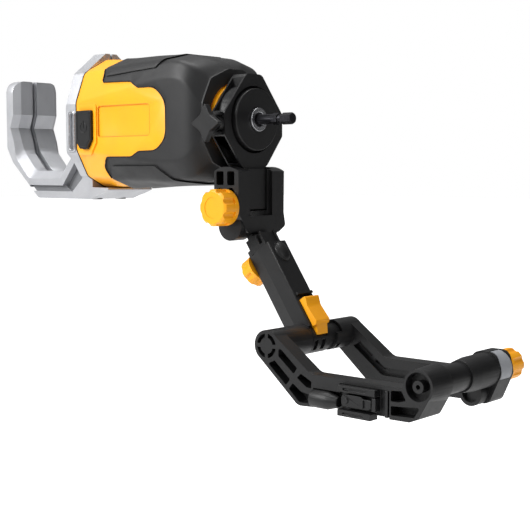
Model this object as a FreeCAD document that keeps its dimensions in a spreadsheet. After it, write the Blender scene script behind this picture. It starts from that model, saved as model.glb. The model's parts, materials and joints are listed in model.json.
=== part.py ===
"""Driver-powered pipe cutter head with a folding, telescoping brace arm.

Millimetres, +Z up. The origin is on the drive axis at the rear face of the thrust washer: +X points
back along the hex shank, -X points to the cutting jaw, +Y is the far side. Lengths that drive the design
are cells of the "dim" sheet, and every sub-part is a labelled object of one document.
"""
import FreeCAD, Part
import math
import os
from FreeCAD import Placement, Rotation, Vector

DIMENSIONS = {
    # drive line
    "shank_radius": 3.2, "hex_flats": 6.35, "shank_end": 27.3, "shaft_radius": 4.5,
    "running_gap": 0.05, "sliding_gap": 0.15,
    # planetary stage and screw gears
    "gear_module": 0.8, "sun_teeth": 12, "planet_teeth": 18, "ring_teeth": 48, "planet_count": 3,
    "planet_orbit": 12.0, "planet_width": 7.0, "pin_radius": 2.5, "ring_radius": 23.0,
    "screw_module": 1.0, "screw_teeth": 16, "screw_offset": 16.0, "screw_radius": 4.0,
    "gear_backlash": 0.14,
    # cutter
    "blade_thickness": 1.6, "blade_slot": 2.0,
    "carriage_length": 14.0, "carriage_near": -20.5, "carriage_width": 43.0, "carriage_height": 26.0,
    "carriage_rear": -60.0,
    # jaw casting
    "hook_face": -230.0, "hook_front": -241.0, "hook_top": 35.0, "notch_depth": 4.0, "notch_half": 10.0,
    "jaw_floor": -32.5, "jaw_bottom": -52.0, "jaw_near": -18.5, "jaw_far": 22.0,
    "flank": 2.8, "flank_depth": 5.5,
    "head_front": -158.0, "head_rear": -141.0, "hook_corner": 9.0,
    # housing
    "wall": 2.5, "grip_thickness": 1.2, "pad_thickness": 2.2,
    # rear cover and bracket ring
    "bracket_bore": 21.0, "bracket_front": -16.0, "bracket_rear": -4.5,
    # clamp box
    "clamp_front": -19.6, "clamp_rear": 1.3, "post_knob_x": -8.6, "post_knob_z": -54.5,
    "hinge_x": -5.0, "hinge_z": -65.0, "hinge_radius": 9.7, "knuckle_radius": 4.6, "hinge_pin_radius": 2.5,
    # arm
    "sleeve_top": -15.6, "sleeve_half_u": 10.0, "sleeve_half_y": 8.5,
    "bar_half_u": 7.0, "bar_half_y": 5.8, "bar_bottom": -50.0,
    # yoke
    "tube_x": 42.0, "tube_z": -133.4, "core_radius": 7.4, "hub_radius": 9.2,
    "leg_inner": 31.0, "leg_outer": 41.0, "boss_x": 147.5, "boss_z": -143.9,
    "cross_radius": 8.0, "clamp_screw_radius": 3.0, "pocket_depth": 8.0,
    # knobs
    "knob_radius": 11.4, "knob_depth": 12.1, "flutes": 8,
}

doc = FreeCAD.newDocument("pipe_cutter")
dim = doc.addObject("Spreadsheet::Sheet", "dim")
for row, (alias, number) in enumerate(DIMENSIONS.items(), start=1):
    dim.set(f"A{row}", alias)
    dim.set(f"B{row}", str(number))
    dim.setAlias(f"B{row}", alias)
doc.recompute()

X_AXIS = Rotation(Vector(0, 1, 0), 90)
Y_AXIS = Rotation(Vector(1, 0, 0), -90)
Z_AXIS = Rotation()
TURNS = {"X": X_AXIS, "Y": Y_AXIS, "Z": Z_AXIS}
PLANES = {"XZ": ("XZ_Plane", -1), "YZ": ("YZ_Plane", 1), "XY": ("XY_Plane", 1)}
NODES = []


def size(alias):
    """The number in one cell of the sheet."""
    return float(dim.get(alias))


def bind(obj, prop, value):
    """Set a property from a number, or bind it to an expression of sheet cells."""
    if isinstance(value, str):
        obj.setExpression(prop, value)
    elif "." in prop:
        obj.setExpression(prop, repr(float(value)))
    else:
        setattr(obj, prop, value)


def place(obj, at, turn=Z_AXIS):
    """Turn an object, then bind each coordinate of its base point."""
    obj.Placement = Placement(Vector(), turn)
    for axis, value in zip("xyz", at):
        bind(obj, f"Placement.Base.{axis}", value)


def box(name, at, lengths):
    obj = doc.addObject("Part::Box", name)
    for prop, value in zip(("Length", "Width", "Height"), lengths):
        bind(obj, prop, value)
    place(obj, at)
    return obj


def rod(name, axis, at, radius, length):
    """A cylinder that runs from a point along the +X, +Y or +Z axis."""
    obj = doc.addObject("Part::Cylinder", name)
    bind(obj, "Radius", radius)
    bind(obj, "Height", length)
    place(obj, at, TURNS[axis])
    return obj


def cone(name, axis, at, radius_start, radius_end, length):
    obj = doc.addObject("Part::Cone", name)
    bind(obj, "Radius1", radius_start)
    bind(obj, "Radius2", radius_end)
    bind(obj, "Height", length)
    place(obj, at, TURNS[axis])
    return obj


def fuse(name, *pieces):
    obj = doc.addObject("Part::MultiFuse", name)
    obj.Shapes = list(pieces)
    obj.Refine = True
    return obj


def common(name, *pieces):
    obj = doc.addObject("Part::MultiCommon", name)
    obj.Shapes = list(pieces)
    return obj


def cut(name, base, *tools):
    obj = doc.addObject("Part::Cut", name)
    obj.Base = base
    obj.Tool = tools[0] if len(tools) == 1 else fuse(name + "_tools", *tools)
    return obj


def solid(name, shape):
    """A plain feature for a shape that no primitive or sketch makes."""
    obj = doc.addObject("Part::Feature", name)
    obj.Shape = shape
    return obj


def node(obj, label, placement=None):
    """Name a finished sub-part, and turn it into its place when it was drawn in another frame."""
    obj.Label = label
    if placement is not None:
        obj.Placement = placement
    NODES.append(obj)
    return obj


def corner_arc(before, corner, after, radius):
    """Start, middle and end of the arc that rounds one corner of an outline."""
    to_before = (before - corner).normalize()
    to_after = (after - corner).normalize()
    half = to_before.getAngle(to_after) / 2
    reach = radius / math.tan(half)
    bisector = (to_before + to_after).normalize()
    centre = corner + bisector * (radius / math.sin(half))
    start = corner + to_before * reach
    end = corner + to_after * reach
    middle = centre - bisector * radius
    return start, middle, end


def outline_curves(points):
    """Lines and arcs of a closed outline; a third number on a point rounds that corner."""
    corners = [Vector(p[0], p[1], 0) for p in points]
    stops = []
    for index, point in enumerate(points):
        corner = corners[index]
        if len(point) == 3:
            before = corners[index - 1]
            after = corners[(index + 1) % len(points)]
            stops.append(corner_arc(before, corner, after, point[2]))
        else:
            stops.append((corner, None, corner))
    curves = []
    for index, (start, middle, end) in enumerate(stops):
        if middle is not None:
            curves.append(Part.Arc(start, middle, end))
        following = stops[(index + 1) % len(stops)][0]
        if (following - end).Length > 1e-6:
            curves.append(Part.LineSegment(end, following))
    return curves


def sketch(body, name, plane, outlines, offset):
    """A sketch on one origin plane of its own body, moved along the plane's normal."""
    role, _ = PLANES[plane]
    origin = [f for f in body.Origin.OriginFeatures if f.Role == role][0]
    obj = body.newObject("Sketcher::SketchObject", name)
    obj.AttachmentSupport = [(origin, "")]
    obj.MapMode = "FlatFace"
    bind(obj, "AttachmentOffset.Base.z", offset)
    for points in outlines:
        obj.addGeometry(outline_curves(points), False)
    return obj


def plate(name, plane, outline, low, high, holes=()):
    """A body padded from an outline, between two positions along the plane's world axis."""
    body = doc.addObject("PartDesign::Body", name)
    _, sense = PLANES[plane]
    start = f"{low}" if sense > 0 else f"-({high})"
    drawn = sketch(body, name + "_sketch", plane, [outline, *holes], start)
    pad = body.newObject("PartDesign::Pad", name + "_pad")
    pad.Profile = drawn
    bind(pad, "Length", f"{high} - ({low})")
    drawn.Visibility = False
    return body


def revolved(name, profile):
    """A body turned about the X axis from a half profile of (x, radius) points."""
    body = doc.addObject("PartDesign::Body", name)
    drawn = sketch(body, name + "_sketch", "XZ", [profile], 0)
    turn = body.newObject("PartDesign::Revolution", name + "_turn")
    turn.Profile = drawn
    turn.ReferenceAxis = (drawn, ["H_Axis"])
    turn.Angle = 360
    return body


def wire_at(points, plane, offset):
    """The closed wire of an outline, placed on a plane square to a world axis."""
    wire = Part.Wire([curve.toShape() for curve in outline_curves(points)])
    if plane == "YZ":
        wire.Placement = Placement(Vector(offset, 0, 0), Rotation(Vector(1, 1, 1), 120))
    else:
        wire.Placement = Placement(Vector(0, offset, 0), Rotation(Vector(1, 0, 0), 90))
    return wire


# ---------------------------------------------------------------- gears

def involute(angle):
    return math.tan(angle) - angle


def gear_face(teeth, module, addendum, dedendum, thinning, phase):
    """An involute gear outline in the XY plane; phase turns the first tooth."""
    pressure = math.radians(25)
    pitch = teeth * module / 2
    base = pitch * math.cos(pressure)
    tip = pitch + addendum
    root = pitch - dedendum
    half = math.pi / (2 * teeth) - thinning / (2 * pitch) + involute(pressure)
    low = max(base, root)
    radii = [low + (tip - low) * step / 4 for step in range(5)]
    flank = [(r, half - involute(math.acos(min(1.0, base / r)))) for r in radii]
    if root < base:
        flank.insert(0, (root, flank[0][1]))
    edges = []
    step = 2 * math.pi / teeth
    for index in range(teeth):
        middle = phase + index * step

        def at(radius, angle):
            return Vector(radius * math.cos(middle + angle), radius * math.sin(middle + angle), 0)

        rising = [at(r, -a) for r, a in flank]
        falling = [at(r, a) for r, a in reversed(flank)]
        for side in (rising, falling):
            straight = side[:2] if side is rising else side[-2:]
            curved = side[1:] if side is rising else side[:-1]
            if root >= base:
                straight, curved = None, side
            curve = Part.BSplineCurve()
            curve.interpolate(curved)
            parts = [curve.toShape()]
            if straight:
                line = Part.makeLine(*straight)
                parts = [line, *parts] if side is rising else [*parts, line]
            edges.extend(parts)
            if side is rising:
                edges.append(Part.Arc(rising[-1], at(tip, 0), falling[0]).toShape())
        following = at(root, step - flank[0][1])
        edges.append(Part.Arc(falling[-1], at(root, step / 2), following).toShape())
    return Part.Face(Part.Wire(edges))


def gear(teeth, module, start, width, centre=(0, 0), phase=0.0, internal=False):
    """A spur gear blank along +X; the internal form is the cutter of a ring gear's spaces."""
    backlash = size("gear_backlash")
    deep = 1.05 * module
    shallow = 0.8 * module
    if internal:
        face = gear_face(teeth, module, deep, shallow, -backlash, phase)
    else:
        face = gear_face(teeth, module, shallow, deep, backlash, phase)
    shape = face.extrude(Vector(0, 0, width))
    shape.Placement = Placement(Vector(start, *centre), Rotation(Vector(1, 1, 1), 120))
    return shape


PLANET_START = -38.0


def planet_centre(index):
    turn = 2 * math.pi * index / size("planet_count")
    return size("planet_orbit") * math.cos(turn), size("planet_orbit") * math.sin(turn)


def build_drive():
    """Hex shank, its sun gear, the three planets, their carrier, and the ring gear around them."""
    stem = rod("stem", "X", (-38.6, 0, 0), 2.5, 12.0)
    journal = rod("journal", "X", (-28.6, 0, 0), "dim.shaft_radius", 27.6)
    shank = rod("shank_round", "X", (-1.0, 0, 0), "dim.shank_radius", 14.6)
    flats = "dim.hex_flats / 2"
    hexagon = doc.addObject("Part::Prism", "shank_hex")
    hexagon.Polygon = 6
    bind(hexagon, "Circumradius", f"{flats} / cos(30)")
    bind(hexagon, "Height", "dim.shank_end - 12")
    place(hexagon, (12.0, 0, 0), X_AXIS)
    taper = cone("shank_taper", "X", (12.0, 0, 0), 20.0, 3.0, "dim.shank_end - 12")
    tip = common("shank_tip", hexagon, taper)
    groove = cut("shank_groove", rod("groove_outer", "X", (16.2, 0, 0), 5.0, 3.2),
                 rod("groove_inner", "X", (16.2, 0, 0), 2.6, 3.2))
    drive = cut("drive", fuse("drive_blank", stem, journal, shank, tip), groove)
    node(drive, "hex_shank")

    module = size("gear_module")
    sun = gear(int(size("sun_teeth")), module, PLANET_START - 0.5, 8.0)
    sun_bore = rod("sun_bore", "X", (-40.0, 0, 0), 2.5, 12.0)
    node(cut("sun", solid("sun_blank", sun), sun_bore), "sun_gear")

    half_tooth = math.pi / size("planet_teeth")
    for index in range(int(size("planet_count"))):
        centre = planet_centre(index)
        blank = gear(int(size("planet_teeth")), module, PLANET_START, size("planet_width"), centre,
                     half_tooth)
        bore = rod(f"planet_bore_{index}", "X", (-40.0, *centre), "dim.pin_radius + dim.running_gap", 12.0)
        node(cut(f"planet_{index}", solid(f"planet_blank_{index}", blank), bore),
             f"planet_gear_{index + 1}")

    ring_blank = rod("ring_blank", "X", (-43.0, 0, 0), "dim.ring_radius", 15.0)
    teeth = solid("ring_spaces", gear(int(size("ring_teeth")), module, -44.0, 17.0, internal=True,
                                      phase=math.pi / size("ring_teeth")))
    node(cut("ring", ring_blank, teeth), "ring_gear")

    plate_disc = rod("carrier_disc", "X", (-42.8, 0, 0), 17.6, 3.8)
    shaft = rod("carrier_shaft", "X", (-46.4, 0, 0), 4.0, 4.0)
    pinion = solid("carrier_pinion", gear(int(size("screw_teeth")), size("screw_module"), -52.2, 5.8))
    front = rod("carrier_front", "X", (-56.6, 0, 0), 3.0, 5.0)
    holes = [rod(f"carrier_hole_{index}", "X", (-44.0, *planet_centre(index)), "dim.pin_radius", 8.0)
             for index in range(int(size("planet_count")))]
    node(cut("carrier", fuse("carrier_blank", plate_disc, shaft, pinion, front), *holes), "planet_carrier")
    pins = [rod(f"pin_{index}", "X", (-42.8, *planet_centre(index)), "dim.pin_radius", 12.6)
            for index in range(int(size("planet_count")))]
    node(fuse("pins", *pins), "planet_pins")


def build_screw():
    """The lead screw beside the blade, its gear, its nut and the rod that guides the carriage."""
    offset = "dim.screw_offset"
    thread = rod("screw_thread", "X", (-153.0, offset, 0), "dim.screw_radius", 95.6)
    nose = rod("screw_nose", "X", (-156.2, offset, 0), 2.5, 4.0)
    journal = rod("screw_journal", "X", (-57.5, offset, 0), 3.0, 11.0)
    tail = rod("screw_tail", "X", (-46.6, offset, 0), 2.5, 3.2)
    node(fuse("screw", thread, nose, journal, tail), "lead_screw")

    teeth = int(size("screw_teeth"))
    blank = gear(teeth, size("screw_module"), -52.2, 5.5, (size("screw_offset"), 0), math.pi / teeth)
    bore = rod("screw_gear_bore", "X", (-54.0, offset, 0), 3.0, 8.0)
    node(cut("screw_gear_cut", solid("screw_gear_blank", blank), bore), "screw_gear")

    rear = "dim.carriage_rear - dim.carriage_length"
    barrel = rod("nut_barrel", "X", (rear, offset, 0), 6.0, "dim.carriage_length")
    flange = rod("nut_flange", "X", (f"{rear} - 2", offset, 0), 8.0, 2.0)
    hole = rod("nut_hole", "X", (f"{rear} - 3", offset, 0), "dim.screw_radius + dim.running_gap", 20.0)
    node(cut("nut", fuse("nut_blank", barrel, flange), hole), "screw_nut")
    node(rod("guide", "X", (-156.5, f"-{offset}", 0), 3.0, 104.0), "guide_rod")


def blade_screw_places():
    return [(-70.0, 9.5), (-64.0, -9.5)]


def build_cutter():
    """The guillotine blade and the carriage that straddles it."""
    rear = size("carriage_rear") - 1.0
    outline = [(-151.5, 37.0), (-157.5, 8.0), (-151.5, -31.0), (-100.0, -31.0, 6.0), (-82.0, -12.0, 6.0),
               (rear, -12.0), (rear, 12.0), (-82.0, 12.0, 6.0), (-100.0, 37.0, 6.0)]
    half = "dim.blade_thickness / 2"
    steel = plate("blade", "XZ", outline, f"-{half}", half)
    holes = [rod(f"blade_hole_{i}", "Y", (x, -5, z), 1.6, 10) for i,
             (x, z) in enumerate(blade_screw_places())]
    bevels = []
    for side in (-1, 1):
        for low, high in (((-157.5, 8.0), (-151.5, 37.0)), ((-157.5, 8.0), (-151.5, -31.0))):
            bevels.append(edge_bevel(low, high, side))
    node(cut("blade_cut", steel, *holes, *bevels), "cutting_blade")

    at = ("dim.carriage_rear - dim.carriage_length", "dim.carriage_near", "-dim.carriage_height / 2")
    block = box("carriage_block", at, ("dim.carriage_length", "dim.carriage_width", "dim.carriage_height"))
    slot = box("carriage_slot", (-80, f"-{half}", -20), (19, "dim.blade_thickness", 40))
    nut_hole = rod("carriage_nut_hole", "X", (-80, "dim.screw_offset", 0), 6.0, 24)
    guide = rod("carriage_guide", "X", (-80, "-dim.screw_offset", 0), "3 + dim.running_gap", 24)
    threads = []
    for index, (x, z) in enumerate(blade_screw_places()):
        threads.append(rod(f"carriage_thread_{index}", "Y", (x, -12, z), 1.6, 24))
        threads.append(rod(f"carriage_counterbore_{index}", "Y", (x, -23, z), 3.0, 11))
    node(cut("carriage", block, slot, nut_hole, guide, *threads), "blade_carriage")

    screws = []
    for index, (x, z) in enumerate(blade_screw_places()):
        screws.append(rod(f"blade_screw_{index}", "Y", (x, -12, z), 1.6, 24))
        screws.append(rod(f"blade_screw_head_{index}", "Y", (x, -14.4, z), 2.9, 2.4))
    node(fuse("blade_screw_set", *screws), "blade_screws")


def edge_bevel(low, high, side):
    """A long wedge that grinds one face of the blade down to its cutting edge."""
    along = Vector(high[0] - low[0], 0, high[1] - low[1]).normalize()
    inward = Vector(along.z, 0, -along.x)
    if inward.x < 0:
        inward = inward * -1
    start = Vector(low[0], 0, low[1]) - along * 4
    face = size("blade_thickness") / 2
    edge = 0.12
    depth = 4.0
    points = [start + Vector(0, side * edge, 0) - inward * 1.0,
              start + Vector(0, side * edge, 0),
              start + Vector(0, side * face, 0) + inward * depth,
              start + Vector(0, side * (face + 1), 0) + inward * depth,
              start + Vector(0, side * (face + 1), 0) - inward * 1.0]
    wedge = Part.Face(Part.makePolygon([*points, points[0]]))
    return solid(f"bevel_{int(high[1])}_{side + 1}", wedge.extrude(along * 60))


# ---------------------------------------------------------------- jaw casting

def jaw_opening(grow):
    """The pipe opening as an outline of (x, z); grow widens the hook side, and the floor twice as much."""
    face = size("hook_face") - grow
    floor = size("jaw_floor") - 1.9 * grow
    notch = size("notch_half")
    deep = size("notch_depth")
    front = size("head_front")
    return [(face, 70.0), (face, notch), (face - deep, 0.0), (face, -notch),
            (face + 3.0, floor + 15.0, 14.0),
            (face + 18.0, floor, 10.0), (front - 22.0 + grow, floor), (front - 4.0 + grow, floor + 20.0),
            (front, floor + 26.0), (front, 70.0)]


def head_section(grow=0.0):
    """Half widths and heights of the octagonal head, mirrored about the blade plane."""
    half = [(5.0, 50.0), (24.0, 35.0), (31.0, 14.0), (31.0, -20.0), (25.0, -26.0), (19.0, -36.0),
            (6.0, -44.0)]
    scale_y = (31.0 + grow) / 31.0
    scale_z = (44.0 + grow) / 44.0
    near = [(-y * scale_y, z * scale_z, 2.0) for y, z in half]
    far = [(y * scale_y, z * scale_z, 2.0) for y, z in reversed(half)]
    return near + far


def jaw_block_outline():
    front = size("hook_front")
    bottom = size("jaw_bottom")
    top = size("hook_top")
    return [(front, top, 3.0), (size("hook_face") + 0.5, top, 1.0), (size("hook_face") + 0.5, 0.0),
            (-200.0, -20.0), (-165.0, -5.0), (-156.0, 5.0), (-141.0, 5.0), (-141.0, -43.6),
            (-119.0, -44.0, 1.0),
            (-144.0, bottom, 4.0), (-203.0, bottom, 4.0), (-234.0, -26.0, 6.0), (front, -15.0, 6.0)]


def flank_cutter(name, start, end):
    """The widening of the opening towards one side of the hook."""
    inner = wire_at(jaw_opening(0.0), "XZ", start)
    outer = wire_at(jaw_opening(size("flank")), "XZ", end)
    return solid(name, Part.makeLoft([inner, outer], True, True))


def build_jaw():
    """The aluminium casting: C-shaped hook, head block, blade slots and screw spigot."""
    near = size("jaw_near")
    far = size("jaw_far")
    block = plate("jaw_block", "XZ", jaw_block_outline(), "dim.jaw_near", "dim.jaw_far")
    opening = plate("jaw_opening", "XZ", jaw_opening(0.0), "dim.jaw_near - 1", "dim.jaw_far + 1")
    depth = size("flank_depth")
    near_flank = flank_cutter("near_flank", near + depth, near - 0.01)
    far_flank = flank_cutter("far_flank", far - depth + 1.5, far + 0.01)
    corners = []
    round_off = size("hook_corner")
    for index, (edge, sense) in enumerate(((near, 1), (far, -1))):
        square = box(f"corner_box_{index}", (-250, min(edge - sense, edge + sense * round_off),
                                             "dim.hook_top - 9"),
                     (30, round_off + 1, 12))
        barrel = rod(f"corner_rod_{index}", "X", (-251, edge + sense * round_off, "dim.hook_top - 9"),
                     "dim.hook_corner", 32)
        corners.append(cut(f"hook_corner_{index}", square, barrel))
    hook = cut("hook", block, opening, near_flank, far_flank, *corners)

    head = plate("head_block", "YZ", head_section(), "dim.head_front", "dim.head_rear")
    nose = solid("head_nose", Part.makeLoft([wire_at(head_section(-5.0), "YZ", size("head_front") - 2.0),
                                             wire_at(head_section(), "YZ",
                                                     size("head_front") + 5.0)], True, True))
    nose_cut = cut("head_ring", box("head_region", (-160, -40, -60), (7.0, 80, 120)), nose)
    head_round = cut("head_rounded", head, nose_cut)
    _, top, bottom, half, _ = HOUSING_STATIONS[0]
    spigot_outline = housing_section(top, bottom, half, -size("wall") - 1.0)
    spigot = plate("spigot", "YZ", spigot_outline, "dim.head_rear", "dim.head_rear + 5.0")
    casting = fuse("casting", hook, head_round, spigot)

    half = "dim.blade_slot / 2"
    channel = plate("hook_channel_shape", "XZ", jaw_opening(2.0), "-4.0", "1.5")
    front_only = box("hook_channel_room", (-240, -5, -32), (36, 8, 80))
    slots = [box("hook_slot", (-239, f"-{half}", -34), (27, "dim.blade_slot", 80)),
             common("hook_channel", channel, front_only),
             box("head_slot", (-184, f"-{half}", -32), (49, "dim.blade_slot", 90)),
             box("head_cavity", (-153.5, -24, -14), (20, 48, 28)),
             box("spigot_cavity", (-148.0, -22.5, -30), (20, 45.5, 66)),
             box("tray_room", (-138.6, -35, -22), (8, 15, 36)),
             rod("screw_nose_hole", "X", (-156.5, "dim.screw_offset", 0), "2.5 + dim.running_gap", 5),
             rod("guide_hole", "X", (-156.5, "-dim.screw_offset", 0), 3.0, 5)]
    pocket = [(-160.0, -25.5, 1.0), (-174.6, -42.6), (-168.0, -46.9), (-163.4, -46.9, 1.5),
              (-151.6, -37.0, 1.5)]
    groove = [(-214.0, -42.6), (-172.0, -42.6), (-166.0, -46.9), (-209.5, -46.9)]
    recesses = [plate("near_pocket", "XZ", pocket, "-33", "dim.jaw_near + 5"),
                plate("far_pocket", "XZ", pocket, "dim.jaw_far - 5", "33"),
                plate("near_groove", "XZ", groove, "-30", "dim.jaw_near + 3"),
                plate("far_groove", "XZ", groove, "dim.jaw_far - 3", "30")]
    screws = []
    for index, (x, y) in enumerate(jaw_screw_places()):
        screws.append(rod(f"jaw_screw_hole_{index}", "Z", (x, y, -49.5), 2.0, 14))
        screws.append(rod(f"jaw_screw_recess_{index}", "Z", (x, y, -56), 4.2, 6.5))
    bezel = bezel_outline(0.0)
    seat = plate("bezel_seat", "XZ", bezel, "-33", "-30")
    side_screws = [rod(f"side_thread_{i}", "Y", (-138.0, 18, z), 1.5, 12)
                   for i, z in enumerate(side_screw_heights())]
    body = cut("jaw", casting, *slots, *recesses, *screws, seat, *side_screws)
    node(body, "jaw_frame")

    fixings = []
    for index, (x, y) in enumerate(jaw_screw_places()):
        fixings.append(rod(f"jaw_screw_{index}", "Z", (x, y, -49.5), 2.0, 13))
        head_disc = rod(f"jaw_screw_head_{index}", "Z", (x, y, -52.3), 3.8, 2.8)
        hexagon = doc.addObject("Part::Prism", f"jaw_screw_socket_{index}")
        hexagon.Polygon = 6
        hexagon.Circumradius = 1.8
        hexagon.Height = 1.6
        place(hexagon, (x, y, -52.4))
        fixings.append(cut(f"jaw_screw_top_{index}", head_disc, hexagon))
    node(fuse("jaw_screw_set", *fixings), "jaw_screws")

    ring = plate("bezel", "XZ", bezel, "-32.2", "-30", [bezel_outline(-1.6)])
    node(ring, "button_bezel")


def side_screw_heights():
    return [16.0, -22.0]


def jaw_screw_places():
    """Two screws that come up through the bottom of the casting, one on each side of the blade."""
    return [(-146.5, -10.0), (-146.5, 12.0)]


def bezel_outline(grow):
    low = -19.0 - grow
    high = 9.0 + grow
    return [(-150.0 - grow, low, 2.6 + grow), (-143.0 + grow, low, 2.6 + grow),
            (-143.0 + grow, high, 2.6 + grow), (-150.0 - grow, high, 2.6 + grow)]


# ---------------------------------------------------------------- housing

HOUSING_STATIONS = [
    # x, top, bottom, half width, squareness of the section
    (-141.0, 44.0, -43.5, 32.0, 0.0),
    (-118.0, 42.8, -42.8, 34.2, 0.2),
    (-95.0, 41.6, -41.2, 35.0, 0.5),
    (-72.0, 41.2, -40.0, 35.2, 0.8),
    (-52.0, 40.6, -39.5, 35.2, 1.0),
    (-38.0, 39.6, -39.0, 35.0, 1.0),
    (-30.0, 37.0, -37.6, 33.8, 0.8),
    (-25.0, 34.2, -34.6, 31.4, 0.35),
    (-21.5, 31.0, -31.4, 28.6, 0.0),
]


def housing_section(top, bottom, half, grow, square=0.0):
    """The section in (y, z): an octagon with rounded corners that gets squarer towards the rear."""
    top = top + grow
    bottom = bottom - grow
    half = half + grow
    ridge = 0.22 + 0.2 * square
    corner = 0.76 + 0.12 * square
    shoulder = 0.79 + 0.11 * square
    side = [(ridge, 1.0, top, 7.0), (corner, shoulder, top, 6.0), (1.0, 0.33 + 0.3 * square, top, 7.0),
            (1.0, 0.40 + 0.25 * square, bottom, 7.0), (corner - 0.06, shoulder + 0.03, bottom, 6.0),
            (ridge, 1.0, bottom, 7.0)]
    scale = half / 35.0
    near = [(-half * y, z * height, radius * scale) for y, z, height, radius in side]
    far = [(half * y, z * height, radius * scale) for y, z, height, radius in reversed(side)]
    return near + far


def housing_loft(name, grow):
    """The smooth housing volume between its end planes, grown or shrunk in section."""
    wires = [wire_at(housing_section(top, bottom, half, grow, square), "YZ", x)
             for x, top, bottom, half, square in HOUSING_STATIONS]
    return solid(name, Part.makeLoft(wires, True, False))


def side_half(name, side):
    """A large block that keeps one side of the parting plane."""
    return box(name, (-300, 0 if side > 0 else -100, -100), (400, 100, 200))


def panel_window(name, low, high, inset=0.0):
    """The side panel that the rubber leaves open, as a prism across one side; inset shrinks it evenly."""
    front = -150.0 + 13.0 * min(1.0, 4.0 * inset)
    outline = [(front, 60.0), (-117.0 - inset, 60.0), (-112.5 - inset, 27.0 - inset, 2.0),
               (-81.0 - inset, 26.0 - inset, 2.0), (-73.0 - inset, 21.5 - inset, 2.0),
               (-57.0, 21.5 - inset, 7.0),
               (-47.0 - inset, 12.0, 7.0), (-47.0 - inset, -11.0, 6.0), (-56.0, -19.0 + inset, 6.0),
               (-73.0 - inset, -19.5 + inset, 2.0), (-80.0 - inset, -23.0 + inset, 2.0),
               (-106.0 - inset, -23.0 + inset, 2.0), (-113.0 - inset, -30.0, 3.0), (-107.0 - inset, -60.0),
               (front, -60.0)]
    return plate(name, "XZ", outline, low, high)


def raised_panels(inner, side):
    """The yellow panel that stands up between the rubber, its label recess, and the step round the button."""
    low, high = ("-80", "-4") if side < 0 else ("4", "80")
    tag = "near" if side < 0 else "far"
    panel = common(f"{tag}_panel", housing_loft(f"{tag}_panel_volume", 1.0),
                   panel_window(f"{tag}_panel_shape", low, high, 0.35))
    recess = plate(f"{tag}_label_shape", "XZ", [(-114.0, -9.5, 2.0), (-62.0, -9.5, 3.0), (-62.0, 11.0, 3.0),
                                                (-114.0, 11.0, 2.0)], low, high)
    pocket = cut(f"{tag}_label_recess", recess, housing_loft(f"{tag}_label_floor", 0.1))
    keel_room = box(f"{tag}_keel_room", (-142, -12, -60), (50, 24, 20.5))
    face = cut(f"{tag}_panel_face", panel, inner, pocket, keel_room)
    if side > 0:
        return face
    step = common("button_step_volume", housing_loft("button_step_height", 2.0),
                  plate("button_step_shape", "XZ", [(-137.0, -21.5), (-137.0, 12.5), (-115.0, 12.5, 2.0),
                                                    (-115.0, -13.0, 2.0), (-121.5, -21.5, 3.0)], low, high))
    return fuse("near_panel_and_step", face, cut("button_step", step, inner))


BUTTON = [(-134.0, -12.0, 1.5), (-134.0, 8.4, 1.5), (-118.4, 8.4, 1.5), (-118.4, -11.0, 1.5),
          (-123.0, -17.2, 1.5), (-130.0, -17.2, 1.5)]


def button_outline(grow):
    """The release button's outline, grown evenly about its middle."""
    middle = (-126.2, -4.4)
    spread_x = 1 + grow / 7.8
    spread_z = 1 + grow / 12.8
    return [(middle[0] + (x - middle[0]) * spread_x, middle[1] + (z - middle[1]) * spread_z, radius)
            for x, z, radius in BUTTON]


def button_tray(outer):
    """The open box behind the release button, with a blind hole for the end of its spring."""
    walls = box("tray_outer", (-138.2, -33.0, -21.0), (23.6, 12.0, 33.0))
    room = box("tray_inside", (-136.4, -34.0, -19.4), (20.0, 10.2, 30.0))
    seat = rod("tray_seat", "Y", (-126.2, -25.0, -4.4), 3.2, 3.4)
    return common("tray", cut("tray_walls", walls, room, seat), outer)


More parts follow.
